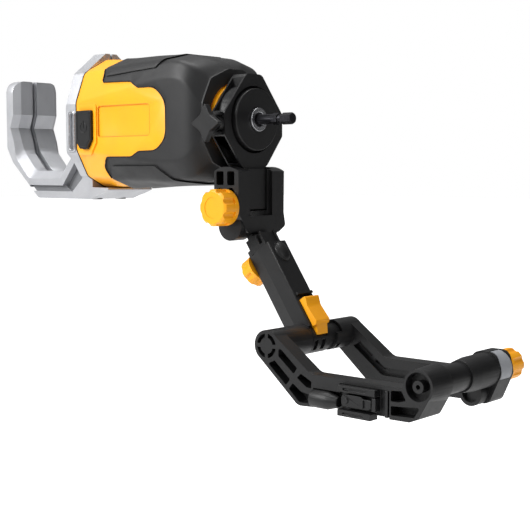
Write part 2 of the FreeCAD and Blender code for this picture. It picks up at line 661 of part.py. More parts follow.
def build_housing():
    """Two yellow shells, the rubber moulded over them, and the screws that close them."""
    outer = housing_loft("housing_outer", 0.0)
    inner = housing_loft("housing_inner", -size("wall"))
    rear_wall = common("rear_wall", outer, box("rear_wall_room", (-24.5, -60, -60), (3.5, 120, 120)))
    rear_hole = rod("rear_hole", "X", (-30, 0, 0), 12.0, 12)
    cover_holes = [rod(f"shell_cover_hole_{i}", "X", (-30, y, z), 1.6, 12)
                   for i, (y, z) in enumerate(cover_screws())]
    hollow = fuse("housing_hollow", cut("housing_skin", outer, inner), rear_wall)
    wall = cut("housing_wall", hollow, rear_hole, *cover_holes)
    bosses = []
    for index, z in enumerate((31.0, -30.0)):
        bosses.append(rod(f"screw_boss_{index}", "Y", (-70.0, -32.0, z), 3.6, 64.0))
    boss_trim = common("boss_trim", fuse("boss_pair", *bosses), outer)
    shell_solid = fuse("shell_solid", wall, boss_trim)
    button_hole = plate("button_hole", "XZ", button_outline(0.25), "-45", "-25")
    holes = []
    for index, z in enumerate((31.0, -30.0)):
        holes.append(rod(f"boss_hole_{index}", "Y", (-70.0, -18.0, z), 1.5, 40.0))
        holes.append(rod(f"boss_counterbore_{index}", "Y", (-70.0, 10.0, z), 2.9, 40.0))
    for index, z in enumerate(side_screw_heights()):
        holes.append(rod(f"side_hole_{index}", "Y", (-138.0, 18.0, z), 1.6, 20.0))
        holes.append(rod(f"side_counterbore_{index}", "Y", (-138.0, 29.6, z), 2.7, 10.0))
    near = common("near_shell_half", shell_solid, side_half("near_keep", -1))
    near_with_tray = fuse("near_shell_tray", near, button_tray(outer), raised_panels(inner, -1))
    node(cut("near_shell_cut", near_with_tray, button_hole, *holes[:4]), "near_shell")
    far = common("far_shell_half", shell_solid, side_half("far_keep", 1))
    far_with_panel = fuse("far_shell_panel", far, raised_panels(inner, 1))
    node(cut("far_shell_cut", far_with_panel, *holes), "far_shell")

    grown = housing_loft("grip_volume", size("grip_thickness"))
    raised = housing_loft("pad_volume", size("pad_thickness"))
    upper = plate("upper_pad", "XZ", [(-110.0, 31.0, 1.0), (-58.0, 33.5, 2.0), (-46.0, 46.0), (-46.0, 60.0),
                                      (-112.0, 60.0), (-113.0, 36.0, 3.0)], "-60", "60")
    lower = plate("lower_pad", "XZ", [(-104.0, -29.0, 2.0), (-58.0, -29.0, 3.0), (-46.0, -38.0, 3.0),
                                      (-30.0, -41.0), (-30.0, -60.0), (-104.0, -60.0),
                                      (-108.0, -36.0, 3.0)],
                  "-60", "60")
    pads = common("pads", raised, fuse("pad_regions", upper, lower))
    _, rear_top, rear_bottom, rear_half, _ = HOUSING_STATIONS[-1]
    rear_outline = housing_section(rear_top, rear_bottom, rear_half, size("grip_thickness"))
    rear_skin = cut("rear_skin", plate("rear_skin_plate", "YZ", rear_outline, "-21.5", "-20.3"),
                    rod("rear_skin_hole", "X", (-30, 0, 0), 23.8, 20))
    layer = fuse("grip_layer", grown, pads, rear_skin)
    top_strip = box("top_strip", (-150, -6.5, 20), (80, 13, 40))
    bottom_strip = box("bottom_strip", (-150, -6.5, -60), (52, 13, 40))
    screw_access = [rod(f"grip_screw_hole_{i}", "Y", (-70.0, 10.0, z), 2.9, 40.0)
                    for i, z in enumerate((31.0, -30.0))]
    rubber = cut("rubber", layer, outer, panel_window("near_window", "-80", "0"),
                 panel_window("far_window", "0", "80"), top_strip, bottom_strip, *screw_access)
    near_rubber = common("near_rubber", rubber, side_half("near_keep_grip", -1))
    node(near_rubber, "near_grip")
    far_rubber = common("far_rubber", rubber, side_half("far_keep_grip", 1))
    node(far_rubber, "far_grip")

    screws = []
    for index, z in enumerate((31.0, -30.0)):
        screws.append(rod(f"housing_screw_{index}", "Y", (-70.0, -8.0, z), 1.5, 18.0))
        screws.append(rod(f"housing_screw_head_{index}", "Y", (-70.0, 10.0, z), 2.8, 2.2))
    for index, z in enumerate(side_screw_heights()):
        screws.append(rod(f"side_screw_{index}", "Y", (-138.0, 20.0, z), 1.5, 9.6))
        screws.append(rod(f"side_screw_head_{index}", "Y", (-138.0, 29.6, z), 2.6, 1.8))
    node(fuse("housing_screw_set", *screws), "housing_screws")


def build_button():
    """The blade release button, its return spring and the spring's seat."""
    cap = plate("button_cap", "XZ", button_outline(0.0), "-38.2", "-32.2")
    flange = plate("button_flange", "XZ", button_outline(0.8), "-28.9", "-27.8")
    neck = plate("button_neck", "XZ", button_outline(-0.2), "-32.4", "-28.8")
    node(fuse("button", cap, neck, flange), "release_button")
    leaf = [(-129.0, -27.8), (-128.6, -27.8), (-126.2, -24.4), (-123.8, -27.8), (-123.4, -27.8),
            (-126.0, -24.0), (-126.4, -24.0)]
    node(plate("leaf_spring", "XY", leaf, "-6.9", "-1.9"), "button_spring")


def cover_screws():
    """Three places on a circle, where screws hold the rear cover from inside the housing."""
    places = []
    for index in range(3):
        turn = math.radians(90 + 120 * index)
        places.append((17.0 * math.cos(turn), 17.0 * math.sin(turn)))
    return places


def build_rear():
    """Gear plates, bushes, rear cover, yellow boss ring and thrust washer."""
    bush_radius = 6.5
    cover = revolved("cover_turned", [(-24.5, bush_radius), (-24.5, 12.0), (-17.5, 12.0), (-17.5, 20.9),
                                      (-8.0, 20.9), (-7.0, 19.5), (-2.2, 19.5), (-1.7, 19.0), (-1.7, 7.4),
                                      (-3.2, 7.4), (-3.2, bush_radius)])
    threads = [rod(f"cover_thread_{i}", "X", (-20, y, z), 1.5, 10) for i,
               (y, z) in enumerate(cover_screws())]
    node(cut("cover", cover, *threads), "rear_cover")
    boss = revolved("boss_turned", [(-21.5, 12.0), (-21.5, 22.0), (-20.5, 23.0), (-17.5, 23.0),
                                    (-17.5, 12.0)])
    clear = [rod(f"boss_hole_{i}_x", "X", (-30, y, z), 1.6, 20) for i, (y, z) in enumerate(cover_screws())]
    node(cut("boss", boss, *clear), "boss_ring")
    node(revolved("washer", [(-3.1, 4.55), (-3.1, 7.3), (0.0, 7.3), (0.0, 4.55)]), "thrust_washer")
    node(revolved("rear_bush_turned", [(-27.8, 4.55), (-27.8, bush_radius), (-3.4, bush_radius),
                                       (-3.4, 4.55)]),
         "rear_bush")

    rear = rod("rear_plate_disc", "X", (-28.0, 0, 0), 21.6, 3.4)
    rear_bores = [rod("rear_plate_bore", "X", (-29, 0, 0), bush_radius, 6)]
    rear_bores += [rod(f"rear_plate_hole_{i}", "X", (-29, y, z), 3.1, 6) for i,
                   (y, z) in enumerate(cover_screws())]
    node(cut("rear_plate_cut", rear, *rear_bores), "gear_cover_plate")

    screws = []
    for index, (y, z) in enumerate(cover_screws()):
        screws.append(rod(f"cover_screw_{index}", "X", (-24.6, y, z), 1.5, 12))
        screws.append(rod(f"cover_screw_head_{index}", "X", (-27.0, y, z), 2.8, 2.4))
    node(fuse("cover_screw_set", *screws), "cover_screws")

    gap = "dim.running_gap"
    gear_plate = rod("gear_plate_disc", "X", (-46.2, 0, 0), "dim.ring_radius", 3.2)
    node(cut("gear_plate_cut", gear_plate, rod("gear_plate_bore", "X", (-48, 0, 0), f"4 + {gap}", 8),
             rod("gear_plate_screw_bore", "X", (-48, "dim.screw_offset", 0), f"2.5 + {gap}",
                 8)), "gear_plate")
    bearing = rod("bearing_disc", "X", (-57.0, 0, 0), 31.0, 4.5)
    bores = [rod("bearing_bore", "X", (-58, 0, 0), f"3 + {gap}", 8),
             rod("bearing_screw_bore", "X", (-58, "dim.screw_offset", 0), f"3 + {gap}", 8),
             rod("bearing_guide_bore", "X", (-58, "-dim.screw_offset", 0), 3.0, 8)]
    node(cut("bearing_cut", bearing, *bores), "bearing_plate")


# ---------------------------------------------------------------- ring bracket and clamp box

def bracket_outline():
    return [(-7.0, 28.4, 5.0), (-26.8, 4.0, 2.0), (-26.8, -9.9, 2.0), (-12.6, -28.0, 1.0),
            (-9.6, -30.4, 1.0),
            (-9.6, -56.0), (9.6, -56.0), (9.6, -30.4, 1.0), (12.6, -28.0, 1.0), (26.8, -9.9, 2.0),
            (26.8, 4.0, 2.0), (7.0, 28.4, 5.0)]


def build_bracket():
    """The bracket ring in two halves, the tongue below it, and the star knob that locks it."""
    ring = plate("bracket_plate", "YZ", bracket_outline(), "dim.bracket_front", "dim.bracket_rear")
    bore = rod("bracket_bore_cut", "X", (-20, 0, 0), "dim.bracket_bore", 20)
    tongue_step = box("tongue_step", (-4.6, -9.6, -56), (2.4, 19.2, 25.4))
    pockets = []
    for side in (-1, 1):
        upper = [(side * 9.0, 30.0), (side * 30.0, 5.4), (side * 22.0, 4.2), (side * 8.4, 20.0)]
        lower = [(side * 30.0, -11.2), (side * 13.4, -29.6), (side * 12.6, -20.0), (side * 22.0, -10.4)]
        inner_wall = rod(f"bracket_inner_wall_{side + 1}", "X", (-20, 0, 0), "dim.bracket_bore + 1.1", 20)
        corners = fuse(f"bracket_corners_{side + 1}",
                       plate(f"bracket_pocket_up_{side + 1}", "YZ", upper, "-14.8", "-5.7"),
                       plate(f"bracket_pocket_low_{side + 1}", "YZ", lower, "-14.8", "-5.7"))
        pockets.append(cut(f"bracket_pockets_{side + 1}", corners, inner_wall))
    stud_hole = rod("bracket_stud_hole", "Y", (-10.0, -45, -3), "3 + dim.running_gap", 30)
    ribs = [box(f"bracket_rib_{i}", (-14.6, -29.6, z), (8.6, 4.6, 1.8)) for i, z in enumerate((2.2, -9.9))]
    boss = rod("bracket_stud_boss", "Y", (-10.0, -30.0, -3), 5.0, 5.0)
    holes = [rod(f"bracket_screw_hole_{i}", "Y", (-10.0, -6, z), 1.5, 12) for i,
             z in enumerate(bracket_screws())]
    wells = [rod(f"bracket_screw_well_{i}", "Y", (-10.0, 6, z), 2.9, 8) for i,
             z in enumerate(bracket_screws())]
    blank = fuse("bracket_blank", ring, tongue_step, boss, *ribs)
    whole = cut("bracket", blank, bore, stud_hole, *pockets, *holes, *wells)
    near = common("bracket_near_half", whole, side_half("bracket_keep_near", -1))
    far = common("bracket_far_half", whole, side_half("bracket_keep_far", 1))
    node(near, "near_bracket")
    node(far, "far_bracket")
    screws = []
    for index, z in enumerate(bracket_screws()):
        screws.append(rod(f"bracket_screw_{index}", "Y", (-10.0, -5.6, z), 1.5, 11.6))
        screws.append(rod(f"bracket_screw_head_{index}", "Y", (-10.0, 6.0, z), 2.8, 2.0))
    node(fuse("bracket_screw_set", *screws), "bracket_screws")


def bracket_screws():
    """Heights of the two screws that join the bracket halves, above and below the bore."""
    return [24.4, -26.5]


def star_outline(reach, waist):
    points = []
    for index in range(4):
        tip = math.radians(90 * index)
        valley = math.radians(90 * index + 45)
        points.append((reach * math.cos(tip), reach * math.sin(tip), 0.8))
        points.append((waist * math.cos(valley), waist * math.sin(valley), 5.0))
    return points


def build_star():
    """The four-pointed star knob and its stud."""
    star = plate("star_body", "XZ", star_outline(12.1, 6.4), "-38.9", "-35.0")
    neck = rod("star_neck", "Y", (0, -35.5, 0), 4.2, 4.5)
    bore = rod("star_bore", "Y", (0, -35.5, 0), 2.0, 5.5)
    shape = cut("star_cut", fuse("star_blank", star, neck), bore)
    node(shape, "star_knob", Placement(Vector(-10, 0, -3), Rotation()))
    shank = rod("star_shank", "Y", (-10, -35.5, -3), 2.0, 4.7)
    thread = rod("star_thread", "Y", (-10, -30.8, -3), 3.0, 9.6)
    node(fuse("star_stud_blank", shank, thread), "star_stud")


def fluted_knob(name, radius, depth, bore_radius, bore_depth):
    """A fluted knob about +Z: its open face is at z = 0 and its stem side at z = depth."""
    body = rod(name + "_core", "Z", (0, 0, 0), radius, depth)
    cutters = []
    count = int(size("flutes"))
    for index in range(count):
        turn = 2 * math.pi * (index + 0.5) / count
        reach = radius * 1.12
        at = (reach * math.cos(turn), reach * math.sin(turn), -1)
        cutters.append(rod(f"{name}_flute_{index}", "Z", at, radius * 0.24, depth * 0.78 + 1))
    skirt = cone(name + "_edge", "Z", (0, 0, 0), radius * 0.86, radius * 2.4, depth * 0.9)
    cap = rod(name + "_cap", "Z", (0, 0, depth * 0.9), radius * 3, depth * 0.2)
    rounded = common(name + "_rounded", body, fuse(name + "_bound", skirt, cap))
    dish = rod(name + "_dish", "Z", (0, 0, -0.2), radius * 0.58, 0.6)
    bore = rod(name + "_bore", "Z", (0, 0, depth - bore_depth), bore_radius, bore_depth + 1)
    return cut(name, rounded, dish, bore, *cutters)


def clamp_pockets():
    """Two open pockets side by side in each cheek, and two with arched tops below them."""
    shapes = []
    for index, x in enumerate((-17.6, -8.4)):
        upper = [(x, -40.8, 1.0), (x + 6.2, -40.8, 1.0), (x + 6.2, -32.2, 1.0), (x, -32.2, 1.0)]
        lower = [(x, -47.0, 1.0), (x + 6.2, -47.0, 1.0), (x + 6.2, -42.4, 3.0), (x, -42.4, 3.0)]
        for level, outline in (("upper", upper), ("lower", lower)):
            shapes.append(plate(f"clamp_{level}_near_{index}", "XZ", outline, "-23", "-11.6"))
            shapes.append(plate(f"clamp_{level}_far_{index}", "XZ", outline, "11.6", "25"))
    return shapes


def build_clamp():
    """The box that slides on the tongue, and the knob that clamps it there."""
    outline = [(-20.9, -26.0), (-20.9, -57.5, 3.0), (-12.5, -70.4, 3.0), (16.6, -71.0, 3.0),
               (23.4, -67.0, 2.5),
               (21.6, -58.5, 2.0), (21.9, -26.0)]
    shell = plate("clamp_shell", "YZ", outline, "dim.clamp_front", "dim.clamp_rear")
    arch = fuse("clamp_arch", rod("clamp_arch_top", "Y", (-9.2, -40, -50.6), 21.2, 80),
                box("clamp_arch_sides", (-30, -40, -90), (60, 80, 45)))
    barrel = rod("clamp_barrel", "Y", (-9.0, -18.0, "dim.hinge_z - 0.8"), "dim.hinge_radius", 36)
    gap = "dim.sliding_gap"
    slot = box("tongue_slot", (f"dim.bracket_front - {gap}", f"-9.6 - {gap}", -57.0),
               (f"13.8 + 2 * {gap}", f"19.2 + 2 * {gap}", 40))
    collar_room = box("bracket_collar_room", (-16.4, -13.2, -30.8), (14.6, 26.4, 8))
    window = box("tongue_window", (-3, -8, -57.0), (8, 16, 40))
    recess = box("rear_recess", (-0.9, -11.2, -60.0), (5, 21.6, 40))
    fork_gap = box("fork_gap", (-22, -7.6, -100), (21.8, 15.2, 42.8))
    low_gap = box("low_gap", (-22, -7.6, -100), (40, 15.2, 29.6))
    pin_hole = rod("clamp_pin_hole", "Y", ("dim.hinge_x", -13, "dim.hinge_z"), "dim.hinge_pin_radius", 40)
    pin_head = rod("clamp_pin_recess", "Y", ("dim.hinge_x", 16.5, "dim.hinge_z"), 4.0, 20)
    stud_hole = rod("clamp_stud_hole", "Y", ("dim.post_knob_x", -30, "dim.post_knob_z"),
                    "3 + dim.running_gap", 25)
    arched = common("clamp_arched", shell, arch)
    body = cut("clamp", fuse("clamp_blank", arched, barrel), slot, collar_room, window, recess, fork_gap,
               low_gap,
               pin_hole, pin_head, stud_hole, *clamp_pockets())
    node(body, "clamp_box")
    pin = rod("pin_shaft", "Y", ("dim.hinge_x", -13, "dim.hinge_z"), "dim.hinge_pin_radius", 29.5)
    head = rod("pin_head", "Y", ("dim.hinge_x", 16.5, "dim.hinge_z"), 3.9, 1.5)
    node(fuse("pin", pin, head), "hinge_pin")

    knob = fluted_knob("post_knob_body", size("knob_radius"), size("knob_depth"), 3.0, 6.0)
    node(knob, "post_knob", Placement(Vector(size("post_knob_x"), -34.0, size("post_knob_z")), Y_AXIS))
    node(rod("post_stud_rod", "Y", ("dim.post_knob_x", -27.9, "dim.post_knob_z"), 3.0, 18.0), "post_stud")


# ---------------------------------------------------------------- arm

def arm_run():
    """How far back and how far down the pivot tube lies from the hinge."""
    return size("tube_x") - size("hinge_x"), size("hinge_z") - size("tube_z")


def arm_frame():
    """The arm's own frame: hinge at the origin, -Z down the arm, +X towards its rear face."""
    base = Vector(size("hinge_x"), 0, size("hinge_z"))
    back, down = arm_run()
    tilt = math.degrees(math.atan2(back, down))
    return Placement(base, Rotation(Vector(0, 1, 0), -tilt))


def build_arm():
    """Inner bar, outer sleeve, their clamp knob and the thumb latch at the lower end."""
    frame = arm_frame()
    knuckle = rod("bar_knuckle", "Y", (0, -7.5, 0), "dim.knuckle_radius", 15.0)
    web = box("bar_web", (-4.4, -7.5, -12), (4.8, 15.0, 12))
    head = box("bar_head", (-7.0, -7.5, -19.2), (14.0, 15.0, 9.6))
    slot = box("bar_head_slot", (2.6, -9, -16.8), (2.8, 4.5, 12))
    hollow = box("bar_head_hollow", (5.4, -5.4, -18.6), (5, 10.8, 12))
    shaft = box("bar_shaft", ("-dim.bar_half_u", "-dim.bar_half_y", "dim.bar_bottom"),
                ("2 * dim.bar_half_u", "2 * dim.bar_half_y", "-dim.bar_bottom - 14"))
    hole = rod("bar_pin_hole", "Y", (0, -10, 0), "dim.hinge_pin_radius + dim.running_gap", 20)
    bar = cut("bar", fuse("bar_blank", knuckle, web, head, shaft), hole, slot, hollow)
    node(bar, "arm_bar", frame)

    half_u = size("sleeve_half_u")
    half_y = size("sleeve_half_y")
    outline = [(-0.6, -half_y), (half_u, -half_y, 0.8), (half_u, half_y, 0.8), (-0.6, half_y),
               (-10.6, 6.4, 1.5), (-10.6, -6.4, 1.5)]
    tube = plate("sleeve_tube", "XY", outline, "-79", "dim.sleeve_top")
    step = box("sleeve_step", (-7.2, -10, -19.4), (20, 20, 10))
    gap = "dim.sliding_gap"
    cavity = box("sleeve_cavity", (f"-dim.bar_half_u - {gap}", f"-dim.bar_half_y - {gap}", -64),
                 (f"2 * (dim.bar_half_u + {gap})", f"2 * (dim.bar_half_y + {gap})", 60))
    reach = -math.hypot(*arm_run())
    hub = rod("arm_hub", "Y", (0, "-dim.sleeve_half_y", reach), "dim.hub_radius", "2 * dim.sleeve_half_y")
    bore = rod("arm_hub_bore", "Y", (0, -20, reach), "dim.core_radius + dim.running_gap", 40)
    oval = doc.addObject("Part::Ellipsoid", "nut_boss")
    oval.Radius1 = 3.2
    oval.Radius2 = 7.0
    oval.Radius3 = 5.6
    oval.Placement = Placement(Vector(half_u - 0.2, 0, -27), Rotation(Vector(0, 1, 0), 90))
    stud_hole = rod("sleeve_stud_hole", "X", (-20, 0, -26), "3 + dim.running_gap", 14)
    latch_track = box("latch_track", (7.9, -5.2, -86.5), (12, 10.4, 28.3))
    shoulder = box("sleeve_shoulder", (9.0, -7.2, -58.3), (2.9, 14.4, 1.6))
    notches = [box(f"hub_notch_{i}", (2.0, y, reach - 12), (9, 3.4, 7)) for i, y in enumerate((-7.4, -0.4))]
    blank = fuse("sleeve_blank", tube, hub, oval, shoulder)
    body = cut("sleeve", blank, step, cavity, bore, stud_hole, latch_track, *notches)
    node(body, "arm_sleeve", frame)

    knob = fluted_knob("arm_knob_body", 9.4, 8.6, 3.0, 4.6)
    turned = Placement(Vector(-19.4, 0, -26), X_AXIS)
    node(knob, "arm_knob", frame.multiply(turned))
    shank = rod("arm_stud_shank", "X", (-15.4, 0, -26), 3.0, 7.4)
    tip = rod("arm_stud_tip", "X", (-9.0, 0, -26), 2.4, 1.8)
    node(fuse("arm_stud_blank", shank, tip), "arm_stud", frame)

    profile = [(8.0, -61.5), (15.4, -61.5, 1.0), (13.4, -67.5, 5.0), (14.6, -78.6, 1.2), (12.6, -80.0, 0.5),
               (9.4, -85.4), (8.1, -84.6)]
    key = plate("latch_key", "XZ", profile, "-4.9", "4.9")
    wings = plate("latch_wings", "XZ", [(10.2, -61.5), (15.4, -61.5, 1.0), (13.4, -67.5, 5.0),
                                        (14.6, -78.6, 1.2),
                                        (12.6, -80.0, 0.5), (10.2, -79.6)], "-6.4", "6.4")
    node(fuse("latch_body", key, wings), "thumb_latch", frame)


# ---------------------------------------------------------------- yoke

def leg_outline():
    """The cranked leg in (x, z), from the pivot tube down to the bend and back to the rear boss."""
    return [(36.1, -140.3), (47.6, -126.3), (75.5, -146.0, 7.0), (139.5, -145.6), (147.5, -136.0),
            (155.6, -147.6), (148.0, -161.0, 3.0), (142.3, -163.4, 4.0), (77.0, -164.6),
            (66.0, -165.2, 6.0)]


def leg_pockets(side):
    """Open pockets between the ribs of one leg's outer face."""
    outer = size("leg_outer")
    depth = size("pocket_depth")
    low, high = (f"{-outer - 1}", f"{-outer + depth}") if side < 0 else (f"{outer - depth}", f"{outer + 1}")
    shapes = [
        [(51.4, -133.6, 1.0), (54.0, -134.8, 1.0), (65.4, -143.8, 0.8), (62.9, -147.4, 0.8),
         (51.2, -138.4, 1.0)],
        [(43.4, -143.6, 0.8), (48.4, -141.2, 0.8), (60.2, -150.9, 0.8), (57.1, -154.6, 0.8)],
        [(68.2, -146.6, 1.0), (75.9, -150.2, 1.0), (75.9, -154.2, 0.8), (72.3, -153.9, 2.0),
         (65.1, -149.3, 0.8)],
        [(62.2, -152.8, 0.8), (68.6, -157.0, 3.0), (75.9, -158.0, 0.8), (75.9, -162.9, 0.8),
         (67.0, -163.2, 2.5),
         (59.2, -156.4, 0.8)],
        [(130.3, -147.9, 0.8), (137.2, -147.4, 0.8), (140.2, -152.2, 0.8), (135.5, -153.6, 0.8),
         (130.3, -153.7, 0.8)],
        [(130.4, -156.2, 0.8), (139.7, -155.6, 1.0), (149.2, -154.6, 1.0), (145.2, -160.6, 1.5),
         (130.4, -161.3, 0.8)],
    ]
    return [plate(f"leg_pocket_{side + 1}_{i}", "XZ", shape, low, high) for i, shape in enumerate(shapes)]


def arc_slots(name, x, z, low, inner, outer):
    """Four curved slots around a hub, cut 4 mm deep from one end."""
    ring = cut(name + "_ring", rod(name + "_outer", "Y", (x, low, z), outer, 4.0),
               rod(name + "_inner", "Y", (x, low - 1, z), inner, 6.0))
    cross_a = box(name + "_bar_a", (x - 12, low - 1, z - 1.1), (24, 6, 2.2))
    cross_b = box(name + "_bar_b", (x - 1.1, low - 1, z - 12), (2.2, 6, 24))
    return cut(name, ring, cross_a, cross_b)


def build_near_leg():
    """Near leg with its hub, its rear boss and the pivot tube and cross tube fixed in them."""
    tube = ("dim.tube_x", "dim.tube_z")
    boss = ("dim.boss_x", "dim.boss_z")
    near = plate("near_leg_plate", "XZ", leg_outline(), "-dim.leg_outer", "-dim.leg_inner")
    web_outline = [(139.0, -146.0), (147.5, -136.0), (155.6, -147.6), (148.0, -161.0, 3.0),
                   (142.3, -163.4, 3.0),
                   (136.0, -163.4)]
    web = plate("near_rear_web", "XZ", web_outline, "-dim.leg_outer + 2", "-20.5")
    hub = rod("near_hub", "Y", (tube[0], "-dim.leg_outer", tube[1]), "dim.hub_radius", 32.2)
    socket = cone("near_boss", "Y", (boss[0], "-dim.leg_outer", boss[1]), 9.2, 10.2, 17.6)
    tube_seat = rod("near_tube_seat", "Y", (tube[0], -36.5, tube[1]), "dim.core_radius", 40)
    cross_seat = rod("near_cross_seat", "Y", (boss[0], -33.5, boss[1]), "dim.cross_radius", 20)
    end_pocket = cut("near_end_pocket", rod("near_end_outer", "Y", (boss[0], -42, boss[1]), 7.8, 6.6),
                     rod("near_end_inner", "Y", (boss[0], -42, boss[1]), 3.4, 8))
    end_hole = rod("near_end_hole", "Y", (boss[0], -42, boss[1]), 1.3, 5.0)
    room = fuse("clasp_rooms", box("clasp_room", (96.2, -42, -166.5), (33.3, 5.6, 18.2)),
                box("barrel_room", (77.2, -42, -166.5), (20.0, 6.4, 13.0)))
    slots = arc_slots("near_arc_slots", size("tube_x"), size("tube_z"), -41.5, 4.8, 7.2)
    body = cut("near_leg_cut", fuse("near_leg_blank", near, web, hub, socket), tube_seat, cross_seat,
               end_pocket,
               end_hole, room, slots, *leg_pockets(-1))
    node(body, "near_leg")

    core = rod("tube_core", "Y", (tube[0], -36.5, tube[1]), "dim.core_radius", 69.9)
    tube_hollow = rod("tube_hollow", "Y", (tube[0], -37, tube[1]), 4.2, 80.0)
    node(cut("pivot_tube_cut", core, tube_hollow), "pivot_tube")

    cross = rod("cross_blank", "Y", (boss[0], -33.5, boss[1]), "dim.cross_radius", 53.5)
    nut_seat = rod("cross_nut_seat", "Y", (boss[0], 11.5, boss[1]), 5.2, 10)
    screw_room = rod("cross_screw_room", "Y", (boss[0], 0.5, boss[1]), "dim.clamp_screw_radius + 0.6", 12)
    node(cut("cross_cut", cross, nut_seat, screw_room), "cross_tube")
    nut_bore = rod("yoke_nut_bore", "Y", (boss[0], 10, boss[1]),
                   "dim.clamp_screw_radius + dim.running_gap", 12)
    node(cut("yoke_nut_cut", rod("yoke_nut_blank", "Y", (boss[0], 11.5, boss[1]), 5.2, 8.5), nut_bore),
         "yoke_nut")


def build_far_leg():
    """Far leg with the hub and the sleeve that slide on the two tubes, its label band and the clamp screw."""
    tube = ("dim.tube_x", "dim.tube_z")
    boss = ("dim.boss_x", "dim.boss_z")
    far = plate("far_leg_plate", "XZ", leg_outline(), "dim.leg_inner", "dim.leg_outer")
    far_hub = rod("far_hub", "Y", (tube[0], 15.0, tube[1]), "dim.hub_radius", "dim.leg_outer - 15")
    far_bore = rod("far_hub_bore", "Y", (tube[0], 14, tube[1]), "dim.core_radius + dim.running_gap", 25.6)
    window = box("hub_window", ("dim.tube_x + 1", 14.0, "dim.tube_z + 2.4"), (12, 6.0, 8))
    notch = box("hub_notch_far", ("dim.tube_x + 1", 16.2, "dim.tube_z - 10"), (12, 3.2, 5.4))
    flare = cone("far_flare", "Y", (boss[0], -1.0, boss[1]), 8.9, 9.9, 9.0)
    sleeve = rod("far_sleeve", "Y", (boss[0], 8.0, boss[1]), 9.9, 32.5)
    end_outline = [(137.2, -143.9, 6.0), (140.0, -133.4, 6.0), (155.0, -133.4, 6.0), (158.0, -146.0, 6.0),
                   (150.5, -163.0, 5.0), (137.0, -164.0, 5.0)]
    end_plate = plate("far_end_plate", "XZ", end_outline, "26.0", "40.5")
    lobe = rod("far_lobe", "Y", (143.2, 18.0, -156.8), 7.2, 20.0)
    seat = rod("far_cross_seat", "Y", (boss[0], -2, boss[1]), "dim.cross_radius + dim.running_gap", 28.4)
    through = rod("far_screw_hole", "Y", (boss[0], 20, boss[1]),
                  "dim.clamp_screw_radius + dim.running_gap", 40)
    lobe_pocket = rod("far_lobe_pocket", "Y", (143.2, 17.0, -156.8), 5.2, 4.0)
    groove = [(56.0, -137.6), (75.0, -152.0, 4.0), (126.0, -152.0), (126.0, -157.0), (73.0, -157.0, 5.0),
              (51.0, -141.0)]
    channel = plate("far_channel", "XZ", groove, "dim.leg_inner - 1", "dim.leg_inner + 3")
    sector = box("label_sector", (149.0, 27.0, -149.0), (20, 12.0, 20))
    label_seat = common("label_seat", sector, cut("label_ring",
                                                  rod("label_outer", "Y", (boss[0], 26, boss[1]), 14, 14),
                                                  rod("label_inner", "Y", (boss[0], 25, boss[1]), 10.0,
                                                      16)))
    body = cut("far_leg_cut", fuse("far_leg_blank", far, far_hub, flare, sleeve, end_plate, lobe),
               far_bore, seat,
               through, lobe_pocket, channel, label_seat, window, notch, *leg_pockets(1)[:4])
    node(body, "far_leg")
    band_ring = cut("band_ring", rod("band_outer", "Y", (boss[0], 27.1, boss[1]), 10.3, 11.8),
                    rod("band_inner", "Y", (boss[0], 25, boss[1]), 10.0, 16))
    node(common("band", band_ring, box("band_sector", (149.1, 26.0, -148.9), (20, 14.0, 20))),
         "blank_label_band")

    node(rod("clamp_screw_rod", "Y", (boss[0], 7.0, boss[1]), "dim.clamp_screw_radius", 42.0),
         "clamp_screw")
    knob = fluted_knob("end_knob_body", 9.2, 15.0, 3.0, 8.0)
    at = Vector(size("boss_x"), 56.0, size("boss_z"))
    node(knob, "end_knob", Placement(at, Rotation(Vector(1, 0, 0), 90)))


def build_clasp():
    """The spring clasp on the near leg: a tapered barrel, a railed frame and its hinged clip."""
    bed = box("clasp_frame_bed", (96.4, -39.2, -163.2), (32.0, 2.8, 14.6))
    rails = [box("clasp_upper_rail", (97.0, -44.6, -152.2), (25.4, 7.0, 3.6)),
             box("clasp_lower_rail", (97.4, -45.0, -165.6), (22.4, 7.0, 3.6)),
             box("clasp_end_block", (119.8, -43.8, -160.6), (2.6, 6.0, 7.4)),
             box("clasp_divider", (126.6, -41.0, -163.2), (1.8, 3.0, 14.6))]
    grooves = [box("clasp_upper_groove", (101.0, -45.6, -150.8), (16.0, 2.0, 1.0)),
               box("clasp_lower_groove", (101.0, -46.0, -164.4), (14.0, 2.0, 1.0))]
    node(cut("clasp_frame_cut", fuse("clasp_frame_blank", bed, *rails), *grooves), "clasp_frame")
    clip_outline = [(98.6, -160.6, 2.6), (116.6, -160.6), (118.8, -159.4), (118.8, -154.8), (114.0, -154.8),
                    (111.6, -153.6), (98.6, -153.6, 2.6)]
    clip = plate("clip_blank", "XZ", clip_outline, "-43.0", "-40.6")
    button = rod("clip_button", "Y", (102.2, -43.8, -157.0), 1.5, 1.0)
    tab = box("clip_tab", (113.0, -44.0, -159.6), (1.2, 1.4, 4.4))
    node(fuse("clip_all", clip, button, tab), "clasp_clip")
    body = cone("clasp_nose", "X", (88.6, -41.0, -159.2), 5.1, 3.0, 7.4)
    drum = rod("clasp_drum", "X", (77.6, -41.0, -159.2), 5.1, 11.0)
    node(fuse("clasp_barrel_blank", drum, body), "clasp_barrel")


def check_and_export():
    doc.recompute()
    failed = [obj.Label for obj in doc.Objects if {"Invalid", "Error"} & set(obj.State)]
    if failed:
        raise RuntimeError(f"features failed: {failed}")
    os.makedirs("parts", exist_ok=True)
    for obj in NODES:
        shape = obj.Shape
        if shape.isNull() or not shape.isValid() or not shape.Solids:
            raise RuntimeError(f"bad shape: {obj.Label}")
        print(obj.Label, len(shape.Solids), round(shape.Volume, 1))
        shape.exportStep(os.path.join("parts", obj.Label + ".step"))


